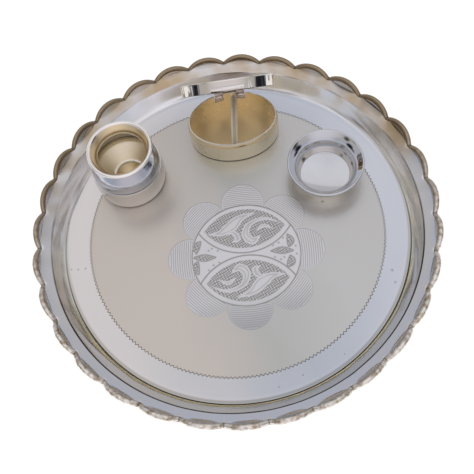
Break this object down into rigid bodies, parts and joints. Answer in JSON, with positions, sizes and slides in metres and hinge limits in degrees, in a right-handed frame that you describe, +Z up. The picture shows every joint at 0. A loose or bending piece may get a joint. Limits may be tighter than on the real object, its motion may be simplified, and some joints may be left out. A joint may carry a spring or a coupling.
{
  "type": "puja thali",
  "caption": "Round scalloped metal prayer tray with an engraved floor, a loose water pot, a loose bowl and an oval box with a hinged lid.",
  "frame": {"origin": "centre of the tray's flat underside, on the surface that it stands on", "axes": "+Z up; -Y towards the person who uses it, on whose far side the box stands; +X to their right"},
  "size_m": [0.2785, 0.2785, 0.062],
  "materials": {
    "polished_nickel_silver": "polished nickel silver, a silver-coloured brass with nickel",
    "satin_nickel_silver": "satin nickel silver, a silver-coloured brass with nickel",
    "steel_wire": "drawn wire"
  },
  "bodies": {
    "tray": {"thali_plate": "polished_nickel_silver"},
    "kalash": {"kalash_lower_body": "polished_nickel_silver", "kalash_upper_body": "polished_nickel_silver"},
    "katori": {"katori_bowl": "polished_nickel_silver"},
    "kumkum_box": {"box_floor": "satin_nickel_silver", "box_wall": "satin_nickel_silver", "box_collar": "satin_nickel_silver", "box_divider": "satin_nickel_silver", "box_hinge_leaf": "satin_nickel_silver", "hinge_pin": "steel_wire"},
    "lid": {"lid_hinge_leaf": "satin_nickel_silver", "lid_skirt": "polished_nickel_silver", "lid_plate": "polished_nickel_silver", "lid_thumb_lip": "polished_nickel_silver"}
  },
  "joints": [
    {"name": "kalash_lift", "type": "slide", "parent": "tray", "child": "kalash", "axis": [0, 0, 1], "range_m": [0, 0.08]},
    {"name": "katori_lift", "type": "slide", "parent": "tray", "child": "katori", "axis": [0, 0, 1], "range_m": [0, 0.06]},
    {"name": "kumkum_box_lift", "type": "slide", "parent": "tray", "child": "kumkum_box", "axis": [0, 0, 1], "range_m": [0, 0.06]},
    {"name": "lid_hinge", "type": "hinge", "parent": "kumkum_box", "child": "lid", "pos_m": [0.01663, 0.10549, 0.0164], "axis": [-0.9969, 0.0785, 0], "range_deg": [-54, 60]}
  ]
}
